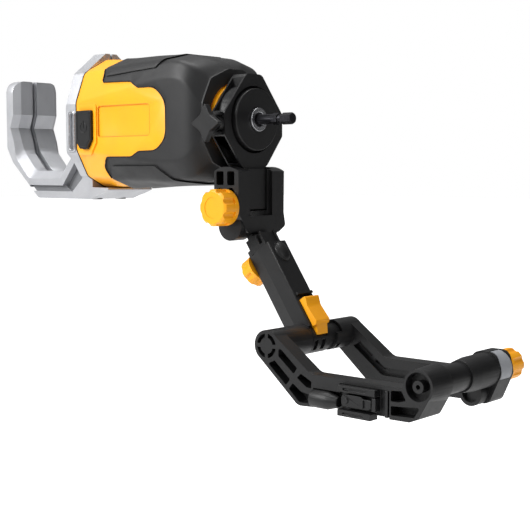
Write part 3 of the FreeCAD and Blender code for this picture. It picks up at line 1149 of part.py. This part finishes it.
build_drive()
build_screw()
build_cutter()
build_jaw()
build_housing()
build_button()
build_rear()
build_bracket()
build_star()
build_clamp()
build_arm()
build_near_leg()
build_far_leg()
build_clasp()
check_and_export()
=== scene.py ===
"""Looks for the pipe cutter: procedural materials, softened edges and small raised marks.

Metres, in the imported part's own frame: +X back along the hex shank, +Y the far side, +Z up.
"""

import json
import math

import bmesh
import bpy
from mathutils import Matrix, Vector
from mathutils.bvhtree import BVHTree


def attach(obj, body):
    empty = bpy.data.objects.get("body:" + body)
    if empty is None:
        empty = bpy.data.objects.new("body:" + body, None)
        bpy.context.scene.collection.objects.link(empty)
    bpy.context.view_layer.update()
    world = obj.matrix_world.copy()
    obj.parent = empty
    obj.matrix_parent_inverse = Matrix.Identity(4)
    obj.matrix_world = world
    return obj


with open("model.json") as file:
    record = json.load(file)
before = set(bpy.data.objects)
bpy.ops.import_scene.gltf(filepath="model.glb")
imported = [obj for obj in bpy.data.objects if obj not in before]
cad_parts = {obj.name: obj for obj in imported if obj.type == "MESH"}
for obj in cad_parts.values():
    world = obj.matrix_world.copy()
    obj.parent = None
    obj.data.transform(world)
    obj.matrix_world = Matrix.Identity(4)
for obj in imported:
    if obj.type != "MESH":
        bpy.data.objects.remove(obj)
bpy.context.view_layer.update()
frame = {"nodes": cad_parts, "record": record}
NODES = frame["nodes"]
MM = 0.001


# ---------------------------------------------------------------- materials

def srgb(red, green, blue):
    """A linear colour from 0-255 display values."""
    def linear(value):
        value /= 255
        return value / 12.92 if value <= 0.04045 else ((value + 0.055) / 1.055) ** 2.4
    return (linear(red), linear(green), linear(blue), 1.0)


class Nodes:
    """Short-hand for building one material's node tree."""

    def __init__(self, name):
        self.material = bpy.data.materials.new(name)
        self.material.use_nodes = True
        self.tree = self.material.node_tree
        self.tree.nodes.clear()
        self.output = self.add("ShaderNodeOutputMaterial")
        self.shader = self.add("ShaderNodeBsdfPrincipled")
        self.link(self.shader, "BSDF", self.output, "Surface")
        self.place = self.add("ShaderNodeNewGeometry")

    def add(self, kind, **values):
        node = self.tree.nodes.new(kind)
        for key, value in values.items():
            if hasattr(node, key):
                setattr(node, key, value)
            else:
                node.inputs[key].default_value = value
        return node

    def link(self, source, output, target, socket):
        self.tree.links.new(source.outputs[output], target.inputs[socket])

    def noise(self, scale, detail=4.0, roughness=0.55, stretch=None):
        """Noise in object space; scale is in waves per metre."""
        coords = self.add("ShaderNodeTexCoord")
        mapping = self.add("ShaderNodeMapping")
        mapping.inputs["Scale"].default_value = stretch or (1, 1, 1)
        noise = self.add("ShaderNodeTexNoise")
        noise.inputs["Scale"].default_value = scale
        noise.inputs["Detail"].default_value = detail
        noise.inputs["Roughness"].default_value = roughness
        self.link(coords, "Object", mapping, "Vector")
        self.link(mapping, "Vector", noise, "Vector")
        return noise

    def spread(self, source, output, low, high, start=0.3, end=0.7):
        """Map a 0-1 signal to a range of values."""
        ramp = self.add("ShaderNodeMapRange")
        ramp.inputs["From Min"].default_value = start
        ramp.inputs["From Max"].default_value = end
        ramp.inputs["To Min"].default_value = low
        ramp.inputs["To Max"].default_value = high
        self.link(source, output, ramp, "Value")
        return ramp

    def mix(self, factor, factor_output, colour_a, colour_b):
        """Mix two colours, each a fixed colour or a (node, output) pair."""
        blend = self.add("ShaderNodeMix", data_type="RGBA")
        self.link(factor, factor_output, blend, "Factor")
        for socket, colour in ((6, colour_a), (7, colour_b)):
            if isinstance(colour, tuple) and len(colour) == 4:
                blend.inputs[socket].default_value = colour
            else:
                self.tree.links.new(colour[0].outputs[colour[1]], blend.inputs[socket])
        return blend

    def bump(self, layers):
        """Stack bump layers of (node, output, strength, distance in metres)."""
        previous = None
        for source, output, strength, distance in layers:
            bump = self.add("ShaderNodeBump")
            bump.inputs["Strength"].default_value = strength
            bump.inputs["Distance"].default_value = distance
            self.link(source, output, bump, "Height")
            if previous is not None:
                self.link(previous, "Normal", bump, "Normal")
            previous = bump
        self.link(previous, "Normal", self.shader, "Normal")

    def edges(self, radius, low=0.05, high=0.6):
        """How close a point is to a convex edge, from 0 on flats to 1 on edges."""
        bevel = self.add("ShaderNodeBevel", samples=6)
        bevel.inputs["Radius"].default_value = radius
        dot = self.add("ShaderNodeVectorMath", operation="DOT_PRODUCT")
        self.link(bevel, "Normal", dot, 0)
        self.link(self.place, "Normal", dot, 1)
        return self.spread(dot, "Value", 1.0, 0.0, 1 - high, 1 - low)


def plastic(name, colour, shade, roughness, grain, grain_depth, coat=0.0):
    """Moulded plastic: a fine spark texture, faint colour drift and rubbed edges."""
    made = Nodes(name)
    drift = made.noise(35.0, 3.0)
    tone = made.mix(made.spread(drift, "Fac", 0.0, 1.0), 0, colour, shade)
    rub = made.edges(0.0006)
    worn = made.noise(260.0, 5.0)
    amount = made.add("ShaderNodeMath", operation="MULTIPLY")
    made.link(rub, 0, amount, 0)
    made.link(made.spread(worn, "Fac", 0.0, 0.55, 0.45, 0.7), 0, amount, 1)
    lighter = tuple(min(1.0, c * 1.25 + 0.01) for c in colour[:3]) + (1.0,)
    tone = made.mix(amount, 0, (tone, 2), lighter)
    made.tree.links.new(tone.outputs[2], made.shader.inputs["Base Color"])
    fine = made.noise(grain, 2.0, 0.6)
    smear = made.noise(70.0, 4.0)
    rough = made.spread(smear, "Fac", roughness - 0.05, roughness + 0.07)
    made.link(rough, 0, made.shader, "Roughness")
    made.shader.inputs["Specular IOR Level"].default_value = 0.4
    made.shader.inputs["Coat Weight"].default_value = coat
    made.shader.inputs["Coat Roughness"].default_value = 0.25
    made.bump([(fine, "Fac", 0.35, grain_depth), (smear, "Fac", 0.08, 0.0004)])
    return made.material


def metal(name, colour, shade, roughness, grain, grain_depth, stretch=None, scratches=0.0,
          metallic=1.0):
    """Bare metal: directional or cast grain, patchy roughness, brighter rubbed edges and fine scratches."""
    made = Nodes(name)
    patch = made.noise(55.0, 4.0)
    tone = made.mix(made.spread(patch, "Fac", 0.0, 1.0), 0, colour, shade)
    rub = made.edges(0.0007)
    bright = tuple(min(1.0, c * 1.12 + 0.03) for c in colour[:3]) + (1.0,)
    tone = made.mix(rub, 0, (tone, 2), bright)
    made.tree.links.new(tone.outputs[2], made.shader.inputs["Base Color"])
    made.shader.inputs["Metallic"].default_value = metallic
    fine = made.noise(grain, 3.0, 0.6, stretch)
    rough = made.spread(fine, "Fac", roughness - 0.06, roughness + 0.1)
    made.link(rough, 0, made.shader, "Roughness")
    layers = [(fine, "Fac", 0.3, grain_depth)]
    if scratches:
        lines = made.noise(900.0, 2.0, 0.5, (0.06, 1.0, 1.0))
        layers.append((lines, "Fac", scratches, 0.0001))
    made.bump(layers)
    return made.material


# Each takes its colour and a second shade, roughness, grain in waves per metre and grain depth in metres;
# then plastic takes a clear coat, and metal takes a stretch of its grain along (x, y, z) and scratches.
MATERIALS = {
    "cast_aluminium": metal("cast_aluminium", srgb(190, 191, 194), srgb(176, 177, 181), 0.46, 1600.0,
                            0.00008, metallic=0.7),
    # rough casting with painted shade: darker than cast_aluminium, for the shadow in the jaw's side pockets
    "shadowed_rough_casting": metal("shadowed_rough_casting", srgb(132, 133, 136), srgb(118, 119, 122), 0.62, 1100.0, 0.00015,
                           metallic=0.6),
    "yellow_plastic": plastic("yellow_plastic", srgb(252, 171, 12), srgb(247, 163, 8), 0.38, 2600.0,
                              0.00003, 0.15),
    "black_plastic": plastic("black_plastic", srgb(20, 20, 21), srgb(15, 15, 16), 0.42, 2400.0, 0.00005),
    "grip_rubber": plastic("grip_rubber", srgb(31, 31, 32), srgb(25, 25, 26), 0.5, 1900.0, 0.00007),
    "bright_steel": metal("bright_steel", srgb(214, 215, 218), srgb(200, 201, 205), 0.2, 2200.0, 0.00002,
                          (0.1, 1.0, 1.0), 0.1),
    "machined_steel": metal("machined_steel", srgb(168, 169, 173), srgb(150, 151, 156), 0.32, 2000.0,
                            0.00003, (0.1, 1.0, 1.0), 0.15),
    "black_steel": metal("black_steel", srgb(60, 60, 63), srgb(48, 48, 51), 0.38, 1800.0, 0.00003),
    "bronze": metal("bronze", srgb(205, 160, 95), srgb(190, 145, 80), 0.3, 1500.0, 0.00003,
                    (0.1, 1.0, 1.0), 0.1),
    # seam_shadow and panel_shade colour the lines of painted shadow and painted shade along the housing's
    # seams and label edge
    "seam_shadow": plastic("seam_shadow", srgb(12, 12, 12), srgb(9, 9, 9), 0.7, 1500.0, 0.00002),
    "panel_shade": plastic("panel_shade", srgb(214, 128, 8), srgb(206, 120, 6), 0.5, 2600.0, 0.00002),
    "grey_label": plastic("grey_label", srgb(150, 152, 156), srgb(140, 142, 147), 0.45, 2600.0, 0.00002),
}


# ---------------------------------------------------------------- CAD nodes: finish and softened edges

SOFT_EDGES = {
    # node: bevel width in metres
    "jaw_frame": 0.0009, "near_shell": 0.0006, "far_shell": 0.0006, "near_grip": 0.0007, "far_grip": 0.0007,
    "rear_cover": 0.0006, "boss_ring": 0.0006, "near_bracket": 0.0005, "far_bracket": 0.0005,
    "star_knob": 0.0009, "clamp_box": 0.0006, "post_knob": 0.0008, "arm_knob": 0.0007, "end_knob": 0.0007,
    "arm_bar": 0.0005, "arm_sleeve": 0.0006, "thumb_latch": 0.0006, "near_leg": 0.0006, "far_leg": 0.0006,
    "release_button": 0.0006, "button_bezel": 0.0004, "clasp_frame": 0.0004, "clasp_clip": 0.0003,
    "clasp_barrel": 0.0003, "hex_shank": 0.0002, "thrust_washer": 0.0003, "cross_tube": 0.0003,
    "pivot_tube": 0.0003,
}


def soften(obj, width):
    """Dissolve flat facets, then round the sharp edges, without touching the CAD mesh itself."""
    weld = obj.modifiers.new("weld", "WELD")
    weld.merge_threshold = 1e-6
    flat = obj.modifiers.new("flat", "DECIMATE")
    flat.decimate_type = "DISSOLVE"
    flat.angle_limit = math.radians(0.5)
    bevel = obj.modifiers.new("edges", "BEVEL")
    bevel.width = width
    bevel.segments = 3
    bevel.limit_method = "ANGLE"
    bevel.angle_limit = math.radians(28)
    bevel.harden_normals = True
    bevel.use_clamp_overlap = True
    bevel.miter_outer = "MITER_ARC"


POCKET_FLOORS = ((-15.9, -12.9), (16.4, 19.4))   # Y ranges of the sunken faces, near and far, in mm
POCKET_LENGTH = (-216.0, -148.0)                 # their X range
POCKET_TOP = -24.0                               # and the height that they all lie below


def shade_pocket_floors(jaw):
    """Leave the sunken faces along the jaw's sides as rough casting darkened with painted shade; the rims
    around them are bright.
    """
    jaw.data.materials.append(MATERIALS["shadowed_rough_casting"])
    for polygon in jaw.data.polygons:
        x, y, z = jaw.matrix_world @ polygon.center
        sunken = any(low * MM < y < high * MM for low, high in POCKET_FLOORS)
        along = POCKET_LENGTH[0] * MM < x < POCKET_LENGTH[1] * MM
        if sunken and along and z < POCKET_TOP * MM and abs(polygon.normal.y) > 0.9:
            # painted shade: the pocket floors take the darker casting
            polygon.material_index = 1


for entry in frame["record"]["subparts"]:
    cad = NODES[entry["node"]]
    cad.data.materials.clear()
    cad.data.materials.append(MATERIALS[entry["material_slot"]])
    for polygon in cad.data.polygons:
        polygon.material_index = 0
    if entry["node"] in SOFT_EDGES:
        soften(cad, SOFT_EDGES[entry["node"]])
shade_pocket_floors(NODES["jaw_frame"])


# ---------------------------------------------------------------- small raised marks and painted shade lines

BEAD_STEPS = 8       # flats around a bead's visible half
BEAD_ROOT = 0.3      # how far a bead reaches into the surface below it, in millimetres
SEAM_SPACING = 1.5   # millimetres between the points of a seam
SEAM_REACH = 0.9     # a seam sits as high as the highest surface this near to it, in millimetres
GIRDLE_STEPS = 180   # points around a girdle
GIRDLE_MIN = 20.0    # a girdle ignores anything found nearer to the drive axis than this
SIDE_RAY = 0.08      # rays that look for a side start this far out, in metres
ROUND_RAY = 0.09     # and rays that look towards the drive axis start this far out
SIDE_ONLY = 18.0     # seams stop where the side has turned this close to the middle plane


def bead(name, points, radius, slot, body, closed=False, outward=(0, -1, 0)):
    """A slim half-round bead along a path of points in millimetres, fixed to one moving body.

    It bulges towards outward, or away from the drive axis when outward is None.
    """
    mesh = bmesh.new()
    path = [Vector(point) * MM for point in points]
    count = len(path)
    rings = []
    for index, point in enumerate(path):
        before = path[index - 1] if index or closed else point
        after = path[(index + 1) % count] if index < count - 1 or closed else point
        ahead = (after - before).normalized()
        up = Vector((0, point.y, point.z)).normalized() if outward is None else Vector(outward)
        across = ahead.cross(up).normalized()
        ring = []
        for step in range(BEAD_STEPS + 1):
            turn = math.pi * step / BEAD_STEPS
            offset = across * math.cos(turn) + up * math.sin(turn)
            ring.append(mesh.verts.new(point + offset * radius * MM))
        ring.append(mesh.verts.new(point - across * radius * MM - up * BEAD_ROOT * MM))
        ring.append(mesh.verts.new(point + across * radius * MM - up * BEAD_ROOT * MM))
        rings.append(ring)
    pairs = list(zip(rings, rings[1:])) + ([(rings[-1], rings[0])] if closed else [])
    for first, second in pairs:
        for index in range(len(first)):
            after = (index + 1) % len(first)
            mesh.faces.new((first[index], first[after], second[after], second[index]))
    if not closed:
        mesh.faces.new(list(reversed(rings[0])))
        mesh.faces.new(rings[-1])
    bmesh.ops.recalc_face_normals(mesh, faces=mesh.faces)
    data = bpy.data.meshes.new(name)
    mesh.to_mesh(data)
    mesh.free()
    data.materials.append(MATERIALS[slot])
    piece = bpy.data.objects.new(name, data)
    bpy.context.scene.collection.objects.link(piece)
    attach(piece, body)
    return piece


def arc(centre, radius, start, end, y, steps=28):
    """Points along an arc in a plane of constant Y, angles in degrees from +X towards +Z."""
    points = []
    for step in range(steps + 1):
        turn = math.radians(start + (end - start) * step / steps)
        points.append((centre[0] + radius * math.cos(turn), y, centre[1] + radius * math.sin(turn)))
    return points


def ray_trees(nodes):
    """Search trees over the meshes of some CAD nodes."""
    trees = []
    for node in nodes:
        mesh = NODES[node].data
        corners = [vertex.co for vertex in mesh.vertices]
        trees.append(BVHTree.FromPolygons(corners, [tuple(face.vertices) for face in mesh.polygons]))
    return trees


def surface(*nodes):
    """A look-up of the outermost point, in millimetres, of some CAD nodes at a given (x, z) and side."""
    trees = ray_trees(nodes)

    def outermost(x, z, side):
        start = Vector((x * MM, side * SIDE_RAY, z * MM))
        hits = [tree.ray_cast(start, Vector((0, -side, 0)))[0] for tree in trees]
        depths = [hit.y / MM for hit in hits if hit is not None]
        return side * max(side * depth for depth in depths) if depths else None
    return outermost


def rounded(outline, steps=6):
    """An open outline of (x, z, corner radius) turned into closely spaced points with rounded corners."""
    points = [outline[0][:2]]
    for before, corner, after in zip(outline, outline[1:], outline[2:]):
        here = Vector(corner[:2])
        back = Vector(before[:2]) - here
        ahead = Vector(after[:2]) - here
        reach = min(corner[2], back.length * 0.45, ahead.length * 0.45)
        start = here + back.normalized() * reach
        end = here + ahead.normalized() * reach
        for step in range(steps + 1):
            share = step / steps
            points.append(tuple(start.lerp(here, share).lerp(here.lerp(end, share), share)))
    points.append(outline[-1][:2])
    spaced = []
    for first, second in zip(points, points[1:]):
        count = max(1, int(math.dist(first, second) / SEAM_SPACING))
        for step in range(count):
            share = step / count
            spaced.append((first[0] + (second[0] - first[0]) * share,
                           first[1] + (second[1] - first[1]) * share))
    return spaced + [points[-1]]


def seam_shade_line(name, outline, side, slot, radius, skin, lift=0.0):
    """A thin dark line of painted shade laid along a parting line on one side of the housing."""
    points = []
    for x, z in rounded(outline):
        shifts = (-SEAM_REACH, 0, SEAM_REACH)
        around = [skin(x + dx, z + dz, side) for dx in shifts for dz in shifts]
        depths = [side * depth for depth in around if depth is not None]
        if depths and max(depths) > SIDE_ONLY:
            points.append((x, side * (max(depths) + lift), z))
    return bead(name, points, radius, slot, "housing", outward=(0, side, 0))


def girdle(name, x, nodes, slot, radius):
    """A thin line right round the housing at one place along it."""
    trees = ray_trees(nodes)
    points = []
    for step in range(GIRDLE_STEPS):
        turn = math.radians(360 * step / GIRDLE_STEPS)
        away = Vector((0, math.cos(turn), math.sin(turn)))
        start = Vector((x * MM, 0, 0)) + away * ROUND_RAY
        hits = [tree.ray_cast(start, -away)[0] for tree in trees]
        reach = max((Vector((0, hit.y, hit.z)).length for hit in hits if hit is not None), default=0.0)
        if reach > GIRDLE_MIN * MM:
            points.append((x, away.y * reach / MM, away.z * reach / MM))
    return bead(name, points, radius, slot, "housing", closed=True, outward=None)


# outlines as (x, z, corner radius) in millimetres
PANEL_EDGE = [(-113.4, 36.0, 1), (-112.5, 27.0, 2), (-81.0, 26.0, 2), (-73.0, 21.5, 2), (-57.0, 21.5, 7),
              (-47.0, 12.0, 7), (-47.0, -11.0, 6), (-56.0, -19.3, 6), (-73.0, -19.5, 2), (-80.0, -23.0, 2),
              (-106.0, -23.0, 2), (-113.0, -30.0, 3), (-110.6, -37.0, 1)]
LABEL_EDGE = [(-80.0, 11.0, 1), (-62.0, 11.0, 3), (-62.0, -9.5, 3), (-114.0, -9.5, 2), (-114.0, 11.0, 2),
              (-80.0, 11.0, 1)]
HEAD_END = -140.9      # where the yellow head meets the jaw casting

for side, tag in ((-1, "near"), (1, "far")):
    skin = surface(f"{tag}_shell", f"{tag}_grip")
    # painted shadow: dark lines along the yellow panel's edge, where the shell meets the grip
    seam_shade_line(f"{tag}_panel_seam_shadow", PANEL_EDGE, side, "seam_shadow", radius=0.42, skin=skin, lift=-0.12)
    # painted shade: a darker orange line round the label recess
    seam_shade_line(f"{tag}_label_edge_shade", LABEL_EDGE, side, "panel_shade", radius=0.22, skin=skin, lift=-0.15)
# painted shadow: a dark line right round where the yellow head meets the jaw casting
girdle("head_seam_shadow", HEAD_END, ("near_shell", "far_shell"), "seam_shadow", radius=0.5)

BUTTON_FACE = -38.2                # Y of the button's outer face
BUTTON_MIDDLE = (-126.0, -3.0)     # x and z of the ring's centre
RING_RADIUS = 3.4
BUTTON_BAR = (-3.4, 1.6)           # z of the bar's two ends
BUTTON_LINE = 0.32                 # radius of the ring and the bar
BUTTON_RIM = [(-132.6, -11.2), (-132.6, 7.0), (-119.8, 7.0), (-119.8, -10.4), (-123.6, -15.8),
              (-129.2, -15.8)]

ring = arc(BUTTON_MIDDLE, RING_RADIUS, 120, 420, BUTTON_FACE)
bar = [(BUTTON_MIDDLE[0], BUTTON_FACE, z) for z in BUTTON_BAR]
rim = [(x, BUTTON_FACE, z) for x, z in BUTTON_RIM]
bead("button_ring", ring, BUTTON_LINE, "black_plastic", "button")
bead("button_arrow", bar, BUTTON_LINE, "black_plastic", "button")
bead("button_rim", rim, 0.3, "black_plastic", "button", closed=True)


# ---------------------------------------------------------------- floor, light and camera

def stage_scene():
    """A plain pale floor well below the part."""
    mesh = bpy.data.meshes.new("floor")
    reach = 12.0
    height = -0.42
    mesh.from_pydata([(-reach, -reach, height), (reach, -reach, height), (reach, reach, height),
                      (-reach, reach, height)], [], [(0, 1, 2, 3)])
    floor = bpy.data.objects.new("floor", mesh)
    bpy.context.scene.collection.objects.link(floor)
    made = Nodes("floor_paint")
    tint = made.noise(3.0)
    pale = made.mix(made.spread(tint, "Fac", 0.0, 1.0), 0, (0.93, 0.93, 0.93, 1), (0.95, 0.95, 0.95, 1))
    made.tree.links.new(pale.outputs[2], made.shader.inputs["Base Color"])
    made.shader.inputs["Roughness"].default_value = 0.8
    made.shader.inputs["Emission Color"].default_value = (1, 1, 1, 1)
    seen = made.add("ShaderNodeLightPath")
    glow = made.spread(seen, "Is Camera Ray", 0.12, 0.95, 0.0, 1.0)
    made.link(glow, 0, made.shader, "Emission Strength")
    mesh.materials.append(made.material)


def soft_box(name, at, aim, width, height, power):
    """A rectangular soft light, in metres and watts, turned towards a point."""
    light = bpy.data.lights.new(name, "AREA")
    light.shape = "RECTANGLE"
    light.size = width
    light.size_y = height
    light.energy = power
    obj = bpy.data.objects.new(name, light)
    obj.location = at
    obj.rotation_euler = (Vector(aim) - Vector(at)).to_track_quat("-Z", "Y").to_euler()
    bpy.context.scene.collection.objects.link(obj)


def light_scene():
    """Plain white to the camera; to the part, bright from the near left and above and dim from behind."""
    world = bpy.data.worlds.new("surround")
    world.use_nodes = True
    tree = world.node_tree
    background = tree.nodes["Background"]
    background.inputs["Color"].default_value = (1, 1, 1, 1)
    coords = tree.nodes.new("ShaderNodeTexCoord")
    facing = tree.nodes.new("ShaderNodeVectorMath")
    facing.operation = "DOT_PRODUCT"
    facing.inputs[1].default_value = Vector((-0.45, -0.6, 0.66)).normalized()
    tree.links.new(coords.outputs["Generated"], facing.inputs[0])
    glow = tree.nodes.new("ShaderNodeMapRange")
    glow.inputs["From Min"].default_value = -0.5
    glow.inputs["To Min"].default_value = 0.07
    glow.inputs["To Max"].default_value = 0.62
    tree.links.new(facing.outputs["Value"], glow.inputs["Value"])
    seen = tree.nodes.new("ShaderNodeLightPath")
    strength = tree.nodes.new("ShaderNodeMix")
    strength.inputs[3].default_value = 1.0
    tree.links.new(seen.outputs["Is Camera Ray"], strength.inputs[0])
    tree.links.new(glow.outputs[0], strength.inputs[2])
    tree.links.new(strength.outputs[0], background.inputs["Strength"])
    bpy.context.scene.world = world
    middle = (-0.05, 0.0, -0.05)
    soft_box("key", (-0.5, -0.95, 0.6), middle, 0.7, 0.7, 16.0)
    soft_box("top", (-0.15, 0.1, 1.1), middle, 0.9, 0.6, 9.0)
    soft_box("rim", (0.95, -0.15, 0.3), middle, 0.16, 0.6, 1.3)


def set_camera():
    """Look from the near rear corner, slightly above, along the heading and tilt given in degrees."""
    data = bpy.data.cameras.new("camera")
    data.sensor_width = 36.0
    data.lens = 74.7
    data.clip_start = 0.01
    data.clip_end = 100.0
    camera = bpy.data.objects.new("camera", data)
    azimuth = math.radians(41.7)
    elevation = math.radians(5.0)
    ahead = Vector((-math.sin(azimuth) * math.cos(elevation), math.cos(azimuth) * math.cos(elevation),
                    -math.sin(elevation)))
    camera.location = (0.46335, -0.51507, -0.03067)
    camera.rotation_euler = ahead.to_track_quat("-Z", "Y").to_euler()
    bpy.context.scene.collection.objects.link(camera)
    bpy.context.scene.camera = camera
    bpy.context.scene.view_settings.view_transform = "Standard"
    bpy.context.scene.view_settings.look = "None"


stage_scene()
light_scene()
set_camera()
